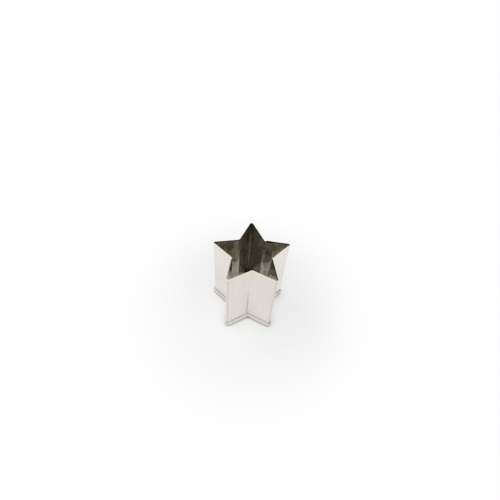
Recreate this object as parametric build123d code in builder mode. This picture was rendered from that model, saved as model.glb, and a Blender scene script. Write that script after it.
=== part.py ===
from build123d import *
import math
import os

# Star-shaped pastry cutter: one strip of bright sheet, hemmed to the outside along its lower
# edge, bent into a star and closed by a lapped, spot-welded seam in the wall of one arm.
# Lengths are in millimetres. The origin is on the star's axis in the base plane, +Z is up
# towards the cutting edge, and one tip points along +Y.

# Star outline, measured to the outside face of the wall
point_count = 5
tip_reach = 16.6  # axis to the corner that a tip would have if it were sharp
valley_reach = 8.3  # axis to the corner that a valley would have if it were sharp
height = 35.0  # base to cutting edge

# Sheet and its upright bends
sheet = 0.4
tip_bend = 0.35  # inside radius of the bend at a tip
valley_bend = 0.25  # inside radius of the bend at a valley, on the hem's outside face

# Hem: the lower edge folded up against the outside of the wall
hem_height = 2.4
hem_gap = 0.15  # between the wall and the folded leg
foot_width = 0.2  # flat at the bottom of the fold, which the cutter stands on

# Lapped seam: the strip's last end lies inside its first end
lap_width = 2.5
lap_gap = 0.05  # between the two laps
lap_clearance = 0.1  # outer lap's edge to the bend beside it
notch_setback = 0.4  # hem's end on the wall before the seam, back from the valley corner

# Spot welds: a row up the middle of the lap
weld_diameter = 1.5
weld_pitch = 10.0
weld_names = ["spot_weld_bottom", "spot_weld_middle", "spot_weld_top"]
mark_diameter = 1.1  # shallow dish left on both faces of a weld
mark_depth = 0.05

# Angles of the star
half_step = math.pi / point_count
tip_half_angle = math.atan2(
    valley_reach * math.sin(half_step),
    tip_reach - valley_reach * math.cos(half_step),
)
valley_half_angle = tip_half_angle + half_step
valley_turn = math.pi - 2 * valley_half_angle

# Sizes that follow from the ones above
hem_reach = hem_gap + sheet  # wall's outside face to the hem's outside face
fold_radius = (hem_reach + sheet - foot_width) / 2
seam_thickness = 2 * sheet + lap_gap


def star_corners(shift):
    # Sharp corners of the outline moved outwards by shift, clockwise from the +Y tip:
    # even numbers are tips and odd numbers are valleys
    tip = tip_reach + shift / math.sin(tip_half_angle)
    valley = valley_reach + shift / math.sin(valley_half_angle)
    corners = []
    for number in range(2 * point_count):
        angle = math.pi / 2 - number * half_step
        reach = tip if number % 2 == 0 else valley
        corners.append(Vector(reach * math.cos(angle), reach * math.sin(angle)))
    return corners


def bend_radius(number, shift):
    # Radius of the bend at a corner of the same outline
    if number % 2 == 0:
        return tip_bend + sheet + shift
    return valley_bend + hem_reach - shift


def star_face(shift):
    # Area inside the closed outline
    radii = [bend_radius(number, shift) for number in range(2 * point_count)]
    with BuildSketch() as area:
        with BuildLine():
            FilletPolyline(star_corners(shift), radius=radii, close=True)
        make_face()
    return area.sketch


# The seam is in the wall from valley 1 to tip 2. In its plane x runs along the wall from the
# sharp valley corner, y is the height, and z is the depth inwards from the wall's outside face.
seam_valley, seam_tip = star_corners(0)[1:3]
seam_direction = (seam_tip - seam_valley).normalized()
seam = Plane(
    origin=seam_valley,
    x_dir=seam_direction,
    z_dir=seam_direction.rotate(Axis.Z, -90),
)


def lap_corner(depth):
    # Where a face of the wall before the seam, moved in by depth, meets the same face of the
    # inner lap, as a distance along the seam
    lap_depth = depth + sheet + lap_gap
    return (lap_depth * math.cos(valley_turn) - depth) / math.sin(valley_turn)


lap_start = lap_corner(0) + bend_radius(1, 0) * math.tan(valley_turn / 2) + lap_clearance
lap_end = lap_start + lap_width
weld_x = (lap_start + lap_end) / 2


def strip_corners(depth):
    # Corners along one face of the open strip, from the outer lap's edge clockwise round the
    # star to the inner lap's edge: depth 0 is the outside face and depth sheet the inside face
    corners = star_corners(-depth)
    lap_depth = depth + sheet + lap_gap
    return [
        seam.from_local_coords(Vector(lap_start, 0, depth)),
        *corners[2:],
        corners[0],
        seam.from_local_coords(Vector(lap_corner(depth), 0, lap_depth)),
        seam.from_local_coords(Vector(lap_end, 0, lap_depth)),
    ]


def strip_radii(depth):
    numbers = [*range(2, 2 * point_count), 0, 1]
    return [bend_radius(number, -depth) for number in numbers]


def seam_notch():
    # Plan of the hem that is cut away at the seam, with an end square to each of the two walls
    # that meet in valley 1: the outer lap's edge, and the hem's end on the wall before it
    inside = -2 * sheet
    outside = hem_reach + sheet
    along = seam.x_dir
    outward = -seam.z_dir
    along_before = along.rotate(Axis.Z, -math.degrees(valley_turn))
    outward_before = outward.rotate(Axis.Z, -math.degrees(valley_turn))
    lap_edge = seam_valley + along * lap_start
    hem_end = seam_valley - along_before * notch_setback
    with BuildSketch() as area:
        with BuildLine():
            Polyline(
                hem_end + outward_before * inside,
                hem_end + outward_before * outside,
                lap_edge + outward * outside,
                lap_edge + outward * inside,
                close=True,
            )
        make_face()
    return area.sketch


# Star band: hem, wall with lapped ends, and the holes that the welds fill
with BuildPart() as star_band:
    # Hem and the foot of the wall as one thick ring, with the fold's two lower edges rounded
    with BuildSketch():
        add(star_face(hem_reach))
        add(star_face(-sheet), mode=Mode.SUBTRACT)
    extrude(amount=hem_height)
    fillet(star_band.faces().sort_by(Axis.Z)[0].edges(), radius=fold_radius)

    # Gap between the folded leg and the wall
    with BuildSketch(Plane.XY.offset(sheet)):
        add(star_face(hem_gap))
        add(star_face(0), mode=Mode.SUBTRACT)
    extrude(amount=hem_height - sheet, mode=Mode.SUBTRACT)

    # Notch in the hem, so that the laps lie flat
    with BuildSketch():
        add(seam_notch())
    extrude(amount=hem_height, mode=Mode.SUBTRACT)

    # Wall, bent from the outer lap all the way round to the inner lap
    with BuildSketch(Plane.XY.offset(fold_radius)):
        with BuildLine():
            outside_face = FilletPolyline(strip_corners(0), radius=strip_radii(0))
            inside_face = FilletPolyline(strip_corners(sheet), radius=strip_radii(sheet))
            Line(outside_face @ 0, inside_face @ 0)
            Line(outside_face @ 1, inside_face @ 1)
        make_face()
    extrude(amount=height - fold_radius)

    # Weld holes through both laps
    weld_heights = [
        (hem_height + height) / 2 + (number - (len(weld_names) - 1) / 2) * weld_pitch
        for number in range(len(weld_names))
    ]
    with BuildSketch(seam):
        with Locations(*[(weld_x, weld_height) for weld_height in weld_heights]):
            Circle(weld_diameter / 2)
    extrude(amount=seam_thickness, mode=Mode.SUBTRACT)

star_band.part.label = "star_band"

os.makedirs("parts", exist_ok=True)
export_step(star_band.part, "parts/star_band.step")

# Spot welds: one nugget in each hole, flush with both laps, with a shallow dish in each face
mark_radius = (mark_diameter**2 / 4 + mark_depth**2) / (2 * mark_depth)
for weld_name, weld_height in zip(weld_names, weld_heights):
    with BuildPart() as spot_weld:
        with BuildSketch(seam):
            with Locations((weld_x, weld_height)):
                Circle(weld_diameter / 2)
        extrude(amount=seam_thickness)
        mark_depths = [mark_depth - mark_radius, seam_thickness + mark_radius - mark_depth]
        marks = [seam.from_local_coords(Vector(weld_x, weld_height, z)) for z in mark_depths]
        with Locations(*marks):
            Sphere(mark_radius, mode=Mode.SUBTRACT)
    spot_weld.part.label = weld_name
    export_step(spot_weld.part, f"parts/{weld_name}.step")

print(f"lap from {lap_start:.2f} to {lap_end:.2f} mm along the seam wall")
print(f"weld heights: {', '.join(f'{weld_height:.1f}' for weld_height in weld_heights)} mm")
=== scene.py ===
from math import asin, atan2, cos, pi, radians, sin, tan

import bmesh
import bpy
from mathutils import Matrix, Vector, noise


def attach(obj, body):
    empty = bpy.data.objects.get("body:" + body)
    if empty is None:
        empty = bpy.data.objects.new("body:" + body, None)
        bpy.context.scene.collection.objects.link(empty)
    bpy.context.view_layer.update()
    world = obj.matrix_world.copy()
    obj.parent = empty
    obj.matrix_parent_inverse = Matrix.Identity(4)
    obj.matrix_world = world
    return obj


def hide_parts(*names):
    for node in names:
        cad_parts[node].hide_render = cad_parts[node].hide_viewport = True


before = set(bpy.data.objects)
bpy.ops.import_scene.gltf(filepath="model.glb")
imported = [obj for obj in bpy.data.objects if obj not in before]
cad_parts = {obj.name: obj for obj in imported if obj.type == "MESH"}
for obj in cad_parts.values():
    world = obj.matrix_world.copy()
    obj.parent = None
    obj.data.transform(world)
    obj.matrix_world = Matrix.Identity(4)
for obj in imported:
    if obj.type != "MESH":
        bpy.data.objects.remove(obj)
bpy.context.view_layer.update()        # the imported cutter: a band and three weld nuggets on one body
print("frame loaded:", ", ".join(sorted(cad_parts)))

up = Vector((0, 0, 1))
tiny = 1e-6                     # lengths nearer than this are the same
mergeReach = 1e-7

# the star band: lengths in metres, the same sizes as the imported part
band = {
    "points": 5,
    "tipReach": 0.0166,         # axis to a tip's sharp corner, on the wall's outside face
    "valleyReach": 0.0083,      # axis to a valley's sharp corner
    "height": 0.035,
    "sheet": 0.0004,
    "tipBend": 0.00035,         # inside radius at a tip
    "valleyBend": 0.00025,      # inside radius at a valley, on the hem's outside face
    "hemHeight": 0.0024,
    "hemGap": 0.00015,          # between the wall and the folded leg
    "hemPinch": 0.00014,        # how far the leg leans back to the wall at its top
    "lapWidth": 0.0025,
    "lapGap": 0.00005,
    "lapClearance": 0.0001,     # outer lap's edge to the bend beside it
    "notchSetback": 0.0004,     # hem's end before the seam's valley
    # painted light and shade on the inner face of each wall, clockwise from the +Y tip: above 0 lighter,
    # below 0 darker
    "polish": (0.05, 0.6, 0.67, 0, 0, 0, 0, 0.67, 0.5, 0.1),
    "paintedShadingFrom": 0.015,        # height over which a wall's own painted light and shade comes in
    "polishTop": 0.029,
    "footPaintedLight": 0.32,         # painted light on all walls at the foot
    "footFrom": 0.006,
    "footTo": 0.012,
    "cornerPaintedShade": -1,          # painted shade in each tip's inner corner
    "wallRows": 16,
    "columnWidth": 0.00125,
    "guard": 0.00012,           # narrow column beside each bend, which keeps the walls flat
    "legRows": 3,
    "foldSteps": 8,
    "bendSteps": 12,
    "levelSlack": 0.00002,      # how far a vertex on a cut edge may be from the edge's height
    "bow": 0.00006,             # how far the walls stray from flat
    "bowLength": 0.012,
    "bowStretch": 0.3,          # how much slower they stray up the wall than along it
    "bowRise": 0.008,           # height above the hem over which the walls start to stray
    "cutAngle": 50,             # edges sharper than this are cut ones
    "slant": 0.00005,           # how much lower a cut edge is on its outer side
    "topRound": 0.00003,        # cutting edge's outer corner (the inner one stays sharp)
    "edgeRound": 0.00001,       # every other cut corner
    "roundSteps": 3,
}

# the weld nuggets in the lap
weld = {
    "names": ("spot_weld_bottom", "spot_weld_middle", "spot_weld_top"),
    "diameter": 0.0015,
    "pitch": 0.01,
    "markDiameter": 0.0011,
    "markDepth": 0.00005,
    "innerMarkDepth": 0.000015,
    "edgeRound": 0.000008,
    "dishSteps": 6,
    "roundSteps": 3,
    "turnSteps": 48,
}

halfStep = pi / band["points"]
cornerCount = 2 * band["points"]
tipHalfAngle = atan2(
    band["valleyReach"] * sin(halfStep),
    band["tipReach"] - band["valleyReach"] * cos(halfStep),
)
valleyHalfAngle = tipHalfAngle + halfStep
tipTurn = pi - 2 * tipHalfAngle
valleyTurn = pi - 2 * valleyHalfAngle
hemReach = band["hemGap"] + band["sheet"]
foldRadius = hemReach / 2                       # of the sheet's middle, round the fold
foldHeight = foldRadius + band["sheet"] / 2     # centre of the fold above the floor
lapStep = band["sheet"] + band["lapGap"]        # how far the inner lap is set in
seamThickness = band["sheet"] + lapStep


def starCorner(number, shift=0):
    # sharp corner of the outline moved outwards by shift: clockwise from +Y, even ones are tips
    if number % 2 == 0:
        reach = band["tipReach"] + shift / sin(tipHalfAngle)
    else:
        reach = band["valleyReach"] + shift / sin(valleyHalfAngle)
    angle = pi / 2 - number * halfStep
    return Vector((reach * cos(angle), reach * sin(angle), 0))


# the seam is in the wall from valley 1 to tip 2: x runs along it, y outwards and z up
seamValley = starCorner(1)
seamHeading = (starCorner(2) - seamValley).normalized()
seamOutward = Matrix.Rotation(pi / 2, 3, up) @ seamHeading
seamTurn = atan2(seamHeading.y, seamHeading.x)
seamMatrix = Matrix.Translation(seamValley) @ Matrix.Rotation(seamTurn, 4, up)


def lapCorner(depth):
    # where the wall before the seam meets the inner lap, both at this depth in the sheet
    return ((depth + lapStep) * cos(valleyTurn) - depth) / sin(valleyTurn)


lapStart = (
    lapCorner(0)
    + (band["valleyBend"] + hemReach) * tan(valleyTurn / 2)
    + band["lapClearance"]
)
lapEnd = lapStart + band["lapWidth"]
weldAlong = (lapStart + lapEnd) / 2
middleWeld = (len(weld["names"]) - 1) / 2
weldHeights = [
    (band["hemHeight"] + band["height"]) / 2 + (number - middleWeld) * weld["pitch"]
    for number in range(len(weld["names"]))
]
weldMiddles = [
    seamMatrix @ Vector((weldAlong, -seamThickness / 2, height)) for height in weldHeights
]
print("seam: lap from %.2f to %.2f mm along its wall" % (lapStart * 1000, lapEnd * 1000))


def partWay(value, start, stop):
    # 0 up to start, 1 from stop on, and in proportion between them
    return min(1, max(0, (value - start) / (stop - start)))


def onlyVerts(geometry):
    return [part for part in geometry if isinstance(part, bmesh.types.BMVert)]


def drawOut(bm, geometry, move, steps=1):
    # carries geometry along in a straight line and leaves a strip behind it
    made = bmesh.ops.spin(
        bm, geom=geometry, cent=(0, 0, 0), axis=up, dvec=move, angle=0, steps=steps
    )
    return made["geom_last"]


def turnRound(bm, geometry, centre, axis, angle, steps=1):
    made = bmesh.ops.spin(
        bm, geom=geometry, cent=centre, axis=axis, dvec=(0, 0, 0), angle=angle, steps=steps
    )
    return made["geom_last"]


def addObject(name, data):
    made = bpy.data.objects.new(name, data)
    bpy.context.scene.collection.objects.link(made)
    return made


def bandProfile(bm):
    # the sheet's middle line, cut square across the strip: down the wall, round the fold, up the leg
    wallTop = (-band["sheet"] / 2, 0, band["height"])
    tail = bmesh.ops.create_vert(bm, co=wallTop)["vert"]
    row = (band["height"] - foldHeight) / band["wallRows"]
    tail = drawOut(bm, tail, -up * row, band["wallRows"])
    foldCentre = (foldRadius - band["sheet"] / 2, 0, foldHeight)
    tail = turnRound(bm, onlyVerts(tail), foldCentre, (0, 1, 0), -pi, band["foldSteps"])
    lean = Vector((-band["hemPinch"], 0, band["hemHeight"] - foldHeight))
    drawOut(bm, onlyVerts(tail), lean / band["legRows"], band["legRows"])


def startStrip():
    # the sheet as it is bent: the profile at its end, its place and heading, and its length so far
    bm = bmesh.new()
    layers = bm.verts.layers.float
    strip = {"bm": bm}
    marks = ("along", "free", "fold", "polish")
    for mark in marks:
        layers.new(mark)
    for mark in marks:                  # not before the last one is made, as each moves the others
        strip[mark] = layers[mark]
    bandProfile(bm)
    for vert in bm.verts:
        vert[strip["fold"]] = 0 if vert.co.x < -band["sheet"] / 2 + tiny else 1
    quarterTurn = Matrix.Rotation(pi / 2, 4, up)
    start = seamMatrix @ Matrix.Translation((lapStart, 0, 0)) @ quarterTurn
    bmesh.ops.transform(bm, matrix=start, verts=bm.verts)
    strip["end"] = list(bm.verts) + list(bm.edges)
    strip["place"] = start @ Vector((-band["sheet"] / 2, 0, 0))
    strip["heading"] = seamHeading.copy()
    strip["length"] = 0
    strip["wall"] = 1
    return strip


# each vertex keeps its length along the strip, how free it is to stray, and its painted light and shade
def markEnd(strip, free=0, inShadedCorner=False):
    for vert in onlyVerts(strip["end"]):
        vert[strip["along"]] = strip["length"]
        vert[strip["free"]] = free
        rise = partWay(vert.co.z, band["paintedShadingFrom"], band["polishTop"])
        fall = partWay(vert.co.z, band["footTo"], band["footFrom"])
        polish = band["polish"][strip["wall"]] * rise + band["footPaintedLight"] * fall
        vert[strip["polish"]] = band["cornerPaintedShade"] if inShadedCorner else polish


def goStraight(strip, length, stray=True):
    columns = max(1, round(length / band["columnWidth"]))
    column = (length - 2 * band["guard"]) / columns
    done = 0
    for move in [band["guard"]] + [column] * columns + [band["guard"]]:
        strip["end"] = drawOut(strip["bm"], strip["end"], strip["heading"] * move)
        done += move
        strip["length"] += move
        markEnd(strip, sin(pi * done / length) if stray else 0)
    strip["place"] = strip["place"] + strip["heading"] * length


def goRound(strip, radius, turn):
    # positive turns are to the left, which is outwards
    side = 1 if turn > 0 else -1
    left = Matrix.Rotation(pi / 2, 3, up) @ strip["heading"]
    centre = strip["place"] + left * radius * side
    step = turn / band["bendSteps"]
    for count in range(band["bendSteps"]):
        strip["end"] = turnRound(strip["bm"], strip["end"], centre, up, step)
        strip["length"] += radius * abs(step)
        # inside a tip's bend the vertices get painted shade
        markEnd(strip, inShadedCorner=turn < 0 and count + 1 < band["bendSteps"])
    rotation = Matrix.Rotation(turn, 3, up)
    strip["place"] = rotation @ (strip["place"] - centre) + centre
    strip["heading"] = rotation @ strip["heading"]


def dropHem(strip):
    # goes on with the wall alone
    wall = {vert for vert in onlyVerts(strip["end"]) if vert[strip["fold"]] < 0.5}
    edges = [
        part for part in strip["end"]
        if isinstance(part, bmesh.types.BMEdge) and wall.issuperset(part.verts)
    ]
    strip["end"] = list(wall) + edges


def ahead(strip, point):
    return (point - strip["place"]).dot(strip["heading"])


def bendBand():
    strip = startStrip()
    middle = band["sheet"] / 2
    valleyRadius = band["valleyBend"] + hemReach + middle
    tipRadius = band["tipBend"] + middle
    for number in range(2, cornerCount + 1):
        corner = starCorner(number, -middle)
        strip["wall"] = number - 1
        if number % 2 == 0:
            goStraight(strip, ahead(strip, corner) - tipRadius * tan(tipTurn / 2))
            goRound(strip, tipRadius, -tipTurn)
        else:
            goStraight(strip, ahead(strip, corner) - valleyRadius * tan(valleyTurn / 2))
            goRound(strip, valleyRadius, valleyTurn)

    # last wall: the hem stops at the notch, and the plain end is set in behind the first one
    strip["wall"] = 0
    goStraight(strip, ahead(strip, seamValley) - band["notchSetback"])
    dropHem(strip)
    joggle = seamMatrix @ Vector((lapCorner(middle), -middle - lapStep, 0))
    tangent = valleyRadius * tan(valleyTurn / 2)
    goStraight(strip, ahead(strip, joggle) - tangent, stray=False)
    goRound(strip, valleyRadius, valleyTurn)
    strip["wall"] = 1
    goStraight(strip, lapEnd - lapCorner(middle) - tangent, stray=False)
    for face in strip["bm"].faces:
        if any(vert[strip["fold"]] > 0.5 for vert in face.verts):
            face.material_index = 3
    print("strip: %.1f mm long, %d faces" % (strip["length"] * 1000, len(strip["bm"].faces)))
    return strip


def strayFromFlat(strip):
    # pressed walls are never quite flat between their bends
    for vert in strip["bm"].verts:
        rise = partWay(vert.co.z, band["hemHeight"], band["hemHeight"] + band["bowRise"])
        spot = Vector((vert[strip["along"]], 0, vert.co.z * band["bowStretch"]))
        spot /= band["bowLength"]
        vert.co += vert.normal * band["bow"] * vert[strip["free"]] * rise * noise.noise(spot)


# shading of the finished pieces
shading = {
    "sharpAngle": 60,           # edges sharper than this stay sharp
    "faceWeight": 50,
    "enlarged": 1000,           # the faces are too small for the modifier in metres
}


def applyModifiers(piece):
    shaped = bpy.data.meshes.new_from_object(
        piece.evaluated_get(bpy.context.evaluated_depsgraph_get())
    )
    piece.modifiers.clear()
    piece.data = shaped


def flattenNormals(piece):
    # keeps wide faces flat beside their rounded edges
    piece.data.set_sharp_from_angle(angle=radians(shading["sharpAngle"]))
    piece.data.transform(Matrix.Scale(shading["enlarged"], 4))
    weighted = piece.modifiers.new("flat_wall_normals", "WEIGHTED_NORMAL")
    weighted.mode = "FACE_AREA"
    weighted.weight = shading["faceWeight"]
    weighted.thresh = 0
    weighted.keep_sharp = True
    applyModifiers(piece)
    piece.data.transform(Matrix.Scale(1 / shading["enlarged"], 4))


def makeWeldPunch():
    # one cylinder through both laps at each weld
    bm = bmesh.new()
    for height in weldHeights:
        spot = seamMatrix @ Matrix.Translation((weldAlong, -seamThickness / 2, height))
        bmesh.ops.create_cone(
            bm,
            cap_ends=True,
            segments=weld["turnSteps"],
            radius1=weld["diameter"] / 2,
            radius2=weld["diameter"] / 2,
            depth=seamThickness * 2,
            matrix=spot @ Matrix.Rotation(pi / 2, 4, "X"),
        )
    mesh = bpy.data.meshes.new("weld_punch")
    bm.to_mesh(mesh)
    bm.free()
    return addObject("weld_punch", mesh)


def slantCutEdges(bm):
    # the shears leave the cut faces on top of the wall and of the leg leaning outwards
    for level in (band["height"], band["hemHeight"]):
        outer = set()
        for edge in bm.edges:
            if min(abs(vert.co.z - level) for vert in edge.verts) > band["levelSlack"]:
                continue
            finishes = {face.material_index % 3 for face in edge.link_faces}
            if finishes == {0, 2}:
                outer.update(edge.verts)
        outer = [vert for vert in outer if abs(vert.co.z - level) < band["levelSlack"]]
        bmesh.ops.translate(bm, vec=(0, 0, -band["slant"]), verts=outer)


def roundCutEdges(mesh):
    bm = bmesh.new()
    bm.from_mesh(mesh)
    bm.normal_update()
    slantCutEdges(bm)
    bm.normal_update()
    sharp = [
        edge for edge in bm.edges
        if edge.is_manifold and edge.calc_face_angle() > radians(band["cutAngle"])
    ]
    top = []
    rest = []
    for edge in sharp:
        foot = min(vert.co.z for vert in edge.verts)
        finishes = {face.material_index % 3 for face in edge.link_faces}
        fromWeld = min((edge.verts[0].co - middle).length for middle in weldMiddles)
        if foot > band["height"] - band["slant"] - tiny and finishes == {0, 2}:
            top.append(edge)
        elif foot < band["height"] - band["levelSlack"] and fromWeld > weld["diameter"]:
            rest.append(edge)
    print("cut edges to round: %d at the top, %d others" % (len(top), len(rest)))
    for edges, offset in ((top, band["topRound"]), (rest, band["edgeRound"])):
        bmesh.ops.bevel(
            bm, geom=[edge for edge in edges if edge.is_valid], offset=offset,
            offset_type="OFFSET", segments=band["roundSteps"], profile=0.5, affect="EDGES",
            clamp_overlap=True, material=-1,
        )
    for face in bm.faces:
        face.smooth = True
    bm.to_mesh(mesh)
    bm.free()


def makeBand(finishes):
    strip = bendBand()
    bm = strip["bm"]
    bmesh.ops.remove_doubles(bm, verts=bm.verts, dist=mergeReach)
    bmesh.ops.recalc_face_normals(bm, faces=bm.faces)
    bm.normal_update()
    wall = next(face for face in bm.faces if face.calc_center_median().z > band["hemHeight"])
    if wall.normal.dot(wall.calc_center_median()) < 0:
        bmesh.ops.reverse_faces(bm, faces=bm.faces)
        bm.normal_update()
    strayFromFlat(strip)
    mesh = bpy.data.meshes.new("star_band_shell")
    bm.to_mesh(mesh)
    bm.free()
    shell = addObject("star_band_shell", mesh)
    for finish in finishes:
        mesh.materials.append(finish)

    solid = shell.modifiers.new("thickness", "SOLIDIFY")
    solid.thickness = band["sheet"]
    solid.offset = 0
    solid.use_even_offset = True
    solid.use_quality_normals = True
    solid.material_offset = 1
    solid.material_offset_rim = 2
    punch = makeWeldPunch()
    holes = shell.modifiers.new("weld_holes", "BOOLEAN")
    holes.operation = "DIFFERENCE"
    holes.solver = "EXACT"
    holes.object = punch
    applyModifiers(shell)
    bpy.data.objects.remove(punch)
    roundCutEdges(shell.data)
    flattenNormals(shell)
    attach(shell, "root")
    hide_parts("star_band")
    print("band: %d faces" % len(shell.data.polygons))


def makeNugget(name, height, finishes):
    # lathed about the weld's axis, which is y here: two faces, each one a dish, a flat ring
    # and a rounded rim
    bm = bmesh.new()
    markRadius = weld["markDiameter"] / 2
    sides = ((0, 1, weld["markDepth"]), (-seamThickness, -1, weld["innerMarkDepth"]))
    for face, side, depth in sides:
        dishRadius = (markRadius ** 2 + depth ** 2) / (2 * depth)
        dishCentre = (0, face + side * (dishRadius - depth), 0)
        dishAngle = side * asin(markRadius / dishRadius)
        tail = bmesh.ops.create_vert(bm, co=(0, face - side * depth, 0))["vert"]
        tail = turnRound(bm, tail, dishCentre, (0, 0, 1), dishAngle, weld["dishSteps"])
        ring = weld["diameter"] / 2 - weld["edgeRound"] - markRadius
        tail = drawOut(bm, onlyVerts(tail), (ring, 0, 0))
        rimCentre = (weld["diameter"] / 2 - weld["edgeRound"], face - side * weld["edgeRound"], 0)
        rimTurn = -side * pi / 2
        tail = turnRound(bm, onlyVerts(tail), rimCentre, (0, 0, 1), rimTurn, weld["roundSteps"])
        drawOut(bm, onlyVerts(tail), (0, side * (weld["edgeRound"] - seamThickness / 2), 0))
    bmesh.ops.remove_doubles(bm, verts=bm.verts, dist=mergeReach)
    bmesh.ops.spin(
        bm, geom=list(bm.verts) + list(bm.edges), cent=(0, 0, 0), axis=(0, 1, 0),
        dvec=(0, 0, 0), angle=2 * pi, steps=weld["turnSteps"], use_merge=True,
    )
    bmesh.ops.remove_doubles(bm, verts=bm.verts, dist=mergeReach)
    bmesh.ops.recalc_face_normals(bm, faces=bm.faces)
    for face in bm.faces:
        face.smooth = True
        face.material_index = 1 if face.calc_center_median().y < -seamThickness / 2 else 0
    bmesh.ops.transform(
        bm, matrix=seamMatrix @ Matrix.Translation((weldAlong, 0, height)), verts=bm.verts
    )
    mesh = bpy.data.meshes.new(name + "_nugget")
    bm.to_mesh(mesh)
    bm.free()
    for finish in finishes:
        mesh.materials.append(finish)
    nugget = addObject(name + "_nugget", mesh)
    flattenNormals(nugget)
    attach(nugget, "root")
    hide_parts(name)
    print("%s: %d faces" % (name, len(nugget.data.polygons)))


# finishes
def addNode(tree, kind, inputs=None, **settings):
    made = tree.nodes.new("ShaderNode" + kind)
    for name, value in settings.items():
        setattr(made, name, value)
    for name, value in (inputs or {}).items():
        if isinstance(value, bpy.types.NodeSocket):
            tree.links.new(value, made.inputs[name])
        else:
            made.inputs[name].default_value = value
    return made


def newMaterial(name):
    made = bpy.data.materials.new(name)
    made.use_nodes = True
    return made, made.node_tree, made.node_tree.nodes["Principled BSDF"]


def mixColours(tree, factor, first, second):
    mix = tree.nodes.new("ShaderNodeMix")
    mix.data_type = "RGBA"
    for socket, value in ((0, factor), (6, first), (7, second)):
        if isinstance(value, bpy.types.NodeSocket):
            tree.links.new(value, mix.inputs[socket])
        else:
            mix.inputs[socket].default_value = value
    return mix.outputs[2]


def spread(tree, value, low, high, first=0, last=1, curve="LINEAR"):
    made = addNode(
        tree, "MapRange",
        {"Value": value, "From Min": low, "From Max": high, "To Min": first, "To Max": last},
        interpolation_type=curve,
    )
    return made.outputs[0]


def smoothSpread(tree, value, low, high, first=0, last=1):
    return spread(tree, value, low, high, first, last, "SMOOTHSTEP")


def times(tree, first, second):
    return addNode(tree, "Math", {0: first, 1: second}, operation="MULTIPLY").outputs[0]


def multiplied(tree, first, second):
    # two colours
    made = addNode(tree, "VectorMath", {0: first, 1: second}, operation="MULTIPLY")
    return made.outputs[0]


def dulled(tree, colour, factor):
    # a colour times a plain factor
    made = addNode(tree, "VectorMath", {0: colour, "Scale": factor}, operation="SCALE")
    return made.outputs[0]


def weldDistance(tree, coords):
    # from the nearest weld's middle
    nearest = None
    for middle in weldMiddles:
        node = addNode(tree, "VectorMath", {0: coords, 1: middle}, operation="DISTANCE")
        away = node.outputs["Value"]
        if nearest is not None:
            away = addNode(tree, "Math", {0: nearest, 1: away}, operation="MINIMUM").outputs[0]
        nearest = away
    return nearest


def heatTint(tree, coords, strength):
    # blue, then straw, then plain steel, going out from a weld
    reach = spread(tree, weldDistance(tree, coords), 0, heat["reach"])
    ramp = addNode(tree, "ValToRGB", {"Fac": reach})
    stops = ramp.color_ramp.elements
    while len(stops) < len(heat["stops"]):
        stops.new(0.5)
    for stop, (place, colour) in zip(stops, heat["stops"]):
        stop.position = place
        stop.color = colour
    return mixColours(tree, strength, (1, 1, 1, 1), ramp.outputs["Color"])


def grainAt(tree, coords, kind):
    stretch, scale, detail = grain[kind]
    mapped = addNode(tree, "Mapping", {"Vector": coords, "Scale": (1, 1, stretch)})
    made = addNode(
        tree, "TexNoise", {"Vector": mapped.outputs[0], "Scale": scale, "Detail": detail}
    )
    return made.outputs["Fac"]


def rolledSteel(name, look):
    material, tree, shader = newMaterial(name)
    coords = addNode(tree, "TexCoord").outputs["Object"]
    height = addNode(tree, "SeparateXYZ", {0: coords}).outputs["Z"]
    streaks = grainAt(tree, coords, "streaks")
    clouds = grainAt(tree, coords, "clouds")
    smears = grainAt(tree, coords, "smears")
    colour = mixColours(
        tree, spread(tree, streaks, *grain["streakRange"]), look["dark"], look["light"]
    )
    toneAndPaintedShade = spread(tree, smears, *grain["smearRange"], 1 - look["smear"], 1 + look["smear"])
    if look["mottle"]:
        spots = grainAt(tree, coords, "spots")
        spots = spread(tree, spots, *grain["smearRange"], 1 - look["mottle"], 1 + look["mottle"])
        toneAndPaintedShade = times(tree, toneAndPaintedShade, spots)
    # painted light and shade, stored on each vertex, lightens or darkens the colour
    if look["polish"]:
        polish = addNode(tree, "Attribute", attribute_name="polish").outputs["Fac"]
        own = spread(tree, polish, -1, 1, 1 - look["polish"], 1 + look["polish"])
        toneAndPaintedShade = times(tree, toneAndPaintedShade, own)
    colour = dulled(tree, colour, toneAndPaintedShade)
    if look["tint"]:
        colour = multiplied(tree, colour, heatTint(tree, coords, look["tint"]))
    # painted shade: a dark band on the inside just under the cutting edge
    if look["paintedRimShade"]:
        paintedRimShade = smoothSpread(
            tree, height, band["height"] - paintedRimDepth, band["height"], 1, look["paintedRimShade"]
        )
        colour = dulled(tree, colour, paintedRimShade)
    if look["straw"]:
        high = smoothSpread(tree, height, band["height"] - look["straw"], band["height"])
        colour = multiplied(tree, colour, mixColours(tree, high, (1, 1, 1, 1), strawTint))
    tree.links.new(colour, shader.inputs["Base Color"])
    shader.inputs["Specular Tint"].default_value = look["edge"]
    tree.links.new(
        spread(tree, clouds, *grain["cloudRange"], *look["roughness"]), shader.inputs["Roughness"]
    )
    shader.inputs["Metallic"].default_value = look["metal"]
    if look["film"]:
        film = smoothSpread(tree, height, *filmHeights, look["metal"], look["film"])
        tree.links.new(film, shader.inputs["Metallic"])
    bump = addNode(
        tree, "Bump",
        {"Strength": look["bump"], "Distance": grain["bumpDepth"], "Height": streaks},
    )
    tree.links.new(bump.outputs[0], shader.inputs["Normal"])
    return material


# grain of the rolled sheet: stretch up the wall, scale and detail of each noise, and the part of
# its range that is used
grain = {
    "streaks": (0.02, 2600, 3),
    "clouds": (0.5, 180, 3),
    "smears": (0.1, 420, 2),
    "spots": (0.3, 1300, 2),
    "streakRange": (0.3, 0.7),
    "smearRange": (0.35, 0.65),
    "cloudRange": (0.35, 0.7),
    "bumpDepth": 0.00002,
}

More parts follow.
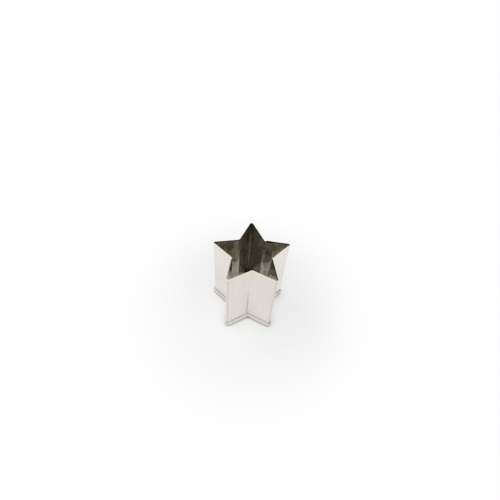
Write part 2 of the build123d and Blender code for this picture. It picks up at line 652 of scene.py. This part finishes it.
# heat tint round a weld: how far it reaches, and its colours on the way out
heat = {
    "reach": 0.0018,
    "stops": (
        (0.0, (0.86, 0.85, 0.84, 1)),
        (0.3, (0.84, 0.85, 0.88, 1)),
        (0.45, (0.78, 0.83, 0.92, 1)),
        (0.58, (0.95, 0.86, 0.72, 1)),
        (0.75, (0.99, 0.95, 0.87, 1)),
        (1.0, (1, 1, 1, 1)),
    ),
}

strawTint = (1.01, 0.985, 0.935, 1)     # faint colour on the outside, below the cutting edge
paintedRimDepth = 0.0004                       # painted shade: a dark line on the inside, along the cutting edge
filmHeights = (0.024, 0.035)            # where the film of oil on the inside gets thicker

# light and dark are the two ends of the fine streaks, edge is the look at a glancing angle,
# straw is how far down the faint colour reaches, paintedRimShade how dark the painted shade
# along the cutting edge is and film what is left of the metal's look under the thickest film
outside = rolledSteel("bright_rolled_steel", {
    "light": (0.765, 0.724, 0.692, 1), "dark": (0.735, 0.695, 0.662, 1), "edge": (1, 1, 1, 1),
    "metal": 1, "smear": 0.015, "mottle": 0, "polish": 0.11, "tint": 0.75, "straw": 0.008,
    "paintedRimShade": 0, "film": 0, "roughness": (0.09, 0.16), "bump": 0.03,
})
# painted shade: the inside is a darker, browner copy of the outside steel
inside = rolledSteel("inner_steel_painted_shade", {
    "light": (0.38, 0.348, 0.294, 1), "dark": (0.338, 0.307, 0.258, 1),
    "edge": (0.89, 0.86, 0.80, 1),
    "metal": 0.88, "smear": 0.18, "mottle": 0.2, "polish": 0.6, "tint": 0.25, "straw": 0,
    "paintedRimShade": 0.15, "film": 0.82, "roughness": (0.05, 0.10), "bump": 0.05,
})
cuttingEdge = rolledSteel("cutting_edge_steel", {
    "light": (0.86, 0.81, 0.71, 1), "dark": (0.78, 0.73, 0.64, 1), "edge": (1, 1, 1, 1),
    "metal": 1, "smear": 0.03, "mottle": 0, "polish": 0, "tint": 0, "straw": 0, "paintedRimShade": 0, "film": 0,
    "roughness": (0.06, 0.12), "bump": 0.05,
})
hemEdge = rolledSteel("hem_edge_steel", {
    "light": (0.78, 0.77, 0.76, 1), "dark": (0.68, 0.67, 0.66, 1), "edge": (1, 1, 1, 1),
    "metal": 1, "smear": 0.03, "mottle": 0, "polish": 0, "tint": 0, "straw": 0, "paintedRimShade": 0, "film": 0,
    "roughness": (0.06, 0.12), "bump": 0.05,
})
weldSteel = rolledSteel("weld_steel", {
    "light": (0.74, 0.71, 0.68, 1), "dark": (0.62, 0.59, 0.56, 1), "edge": (1, 1, 1, 1),
    "metal": 1, "smear": 0.05, "mottle": 0, "polish": 0, "tint": 0.75, "straw": 0, "paintedRimShade": 0, "film": 0,
    "roughness": (0.15, 0.28), "bump": 0.12,
})
# the welds' inner faces carry the same painted shade as the inside
innerWeldSteel = rolledSteel("inner_weld_steel_painted_shade", {
    "light": (0.37, 0.338, 0.286, 1), "dark": (0.32, 0.29, 0.244, 1),
    "edge": (0.89, 0.86, 0.80, 1),
    "metal": 0.88, "smear": 0.1, "mottle": 0, "polish": 0, "tint": 0.25, "straw": 0, "paintedRimShade": 0, "film": 0,
    "roughness": (0.08, 0.16), "bump": 0.1,
})

print("finishes:", ", ".join(sorted(made.name for made in bpy.data.materials)))

makeBand([outside, inside, cuttingEdge, outside, outside, hemEdge])
for name, height in zip(weld["names"], weldHeights):
    makeNugget(name, height, (weldSteel, innerWeldSteel))

# camera, where the photograph was taken from: angles in degrees, lens and sensor in millimetres
camera = {
    "turn": 4.45,
    "pitch": 51.94,
    "roll": 5.11,
    "aside": 0.001115,          # its place from the origin: to its own right, upwards and back
    "upwards": 0.02277,
    "away": 0.16954,
    "lens": 26.64,
    "sensor": 36,
    "nearest": 0.001,
}


def makeCamera():
    aim = (
        Matrix.Rotation(-radians(camera["turn"]), 4, "Z")
        @ Matrix.Rotation(pi / 2 - radians(camera["pitch"]), 4, "X")
        @ Matrix.Rotation(radians(camera["roll"]), 4, "Z")
    )
    data = bpy.data.cameras.new("photo_camera")
    data.lens = camera["lens"]
    data.sensor_width = camera["sensor"]
    data.clip_start = camera["nearest"]
    made = addObject("photo_camera", data)
    spot = aim.to_3x3() @ Vector((camera["aside"], camera["upwards"], camera["away"]))
    made.matrix_world = Matrix.Translation(spot) @ aim
    bpy.context.scene.camera = made


# white studio: floor, tent and lamp
studio = {
    "floorSize": 4,
    "floor": (0.95, 0.95, 0.95),
    "floorRoughness": 0.9,
    "backlit": 0.6,             # share of the floor's look that is plain white near the cutter
    "backlitFar": 0.97,         # the same further out
    "fadeFrom": 0.022,
    "fadeTo": 0.06,
    "backlitMirrored": 0.85,    # and where metal mirrors it
    "backlitWithin": 0.7,       # the same inside the cutter
    "withinFrom": 0.0065,
    "withinTo": 0.008,
    "shade": 0.005,             # how far from the cutter the floor is shaded
    "contact": 0.0018,          # how far the painted contact shadow at its foot reaches
    "contactRange": (0.1, 0.85),
    "tent": 1,                  # brightness of the white tent
    "room": 0.005,              # the dark room beyond the table, which the far edges mirror
    "roomFoot": (0.02, 0.1),    # directions over which it begins and ends
    "roomTop": (0.74, 0.84),
    "roomSide": (-0.35, 0.15),
    "lampPlace": (-0.45, 0.25, 0.5),
    "lampSize": 0.45,
    "lampPower": 1.2,
}


def makeFloor():
    bm = bmesh.new()
    bmesh.ops.create_grid(bm, x_segments=8, y_segments=8, size=studio["floorSize"] / 2)
    mesh = bpy.data.meshes.new("floor")
    bm.to_mesh(mesh)
    bm.free()
    floor = addObject("floor", mesh)
    material, tree, shader = newMaterial("white_paper")
    shader.inputs["Roughness"].default_value = studio["floorRoughness"]
    shader.inputs["Specular IOR Level"].default_value = 0
    rays = addNode(tree, "LightPath")
    coords = addNode(tree, "TexCoord").outputs["Object"]
    away = addNode(tree, "VectorMath", {0: coords}, operation="LENGTH").outputs["Value"]
    fade = smoothSpread(
        tree, away, studio["fadeFrom"], studio["fadeTo"], studio["backlit"], studio["backlitFar"]
    )
    seen = times(tree, rays.outputs["Is Camera Ray"], fade)
    within = smoothSpread(
        tree, away, studio["withinFrom"], studio["withinTo"],
        studio["backlitWithin"], studio["backlitMirrored"],
    )
    mirrored = times(tree, rays.outputs["Is Glossy Ray"], within)
    share = addNode(tree, "Math", {0: seen, 1: mirrored}, operation="ADD").outputs[0]
    shade = addNode(tree, "AmbientOcclusion", {"Distance": studio["shade"]}).outputs["AO"]
    share = times(tree, share, shade)
    foot = addNode(tree, "AmbientOcclusion", {"Distance": studio["contact"]}).outputs["AO"]
    clear = smoothSpread(tree, foot, *studio["contactRange"])
    share = times(tree, share, clear)
    # painted contact shadow: the floor's colour darkens next to the cutter's foot
    tree.links.new(dulled(tree, studio["floor"], clear), shader.inputs["Base Color"])
    glow = addNode(tree, "Emission", {"Color": (1, 1, 1, 1), "Strength": 1})
    blend = addNode(tree, "MixShader", {0: share, 1: shader.outputs[0], 2: glow.outputs[0]})
    tree.links.new(blend.outputs[0], tree.nodes["Material Output"].inputs["Surface"])
    mesh.materials.append(material)


def makeTent():
    world = bpy.data.worlds.new("tent")
    bpy.context.scene.world = world
    world.use_nodes = True
    tree = world.node_tree
    direction = addNode(tree, "TexCoord").outputs["Generated"]
    parts = addNode(tree, "SeparateXYZ", {0: direction})
    low = smoothSpread(tree, parts.outputs["Z"], *studio["roomFoot"])
    high = smoothSpread(tree, parts.outputs["Z"], *studio["roomTop"], 1, 0)
    behind = smoothSpread(tree, parts.outputs["Y"], *studio["roomSide"])
    dark = times(tree, times(tree, low, high), behind)
    rays = addNode(tree, "LightPath")
    unseen = addNode(tree, "Math", {0: 1, 1: rays.outputs["Is Camera Ray"]}, operation="SUBTRACT")
    dark = times(tree, dark, unseen.outputs[0])
    white = spread(tree, dark, 0, 1, studio["tent"], studio["room"])
    background = tree.nodes["Background"]
    tree.links.new(white, background.inputs["Color"])
    background.inputs["Strength"].default_value = 1


def makeLamp():
    data = bpy.data.lights.new("soft_box", "AREA")
    data.shape = "SQUARE"
    data.size = studio["lampSize"]
    data.energy = studio["lampPower"]
    made = addObject("soft_box", data)
    place = Vector(studio["lampPlace"])
    made.location = place
    made.rotation_euler = (-place).to_track_quat("-Z", "Y").to_euler()


makeCamera()
makeFloor()
makeTent()
makeLamp()
bpy.context.scene.view_settings.view_transform = "Standard"
print("studio: camera, floor, tent and lamp")
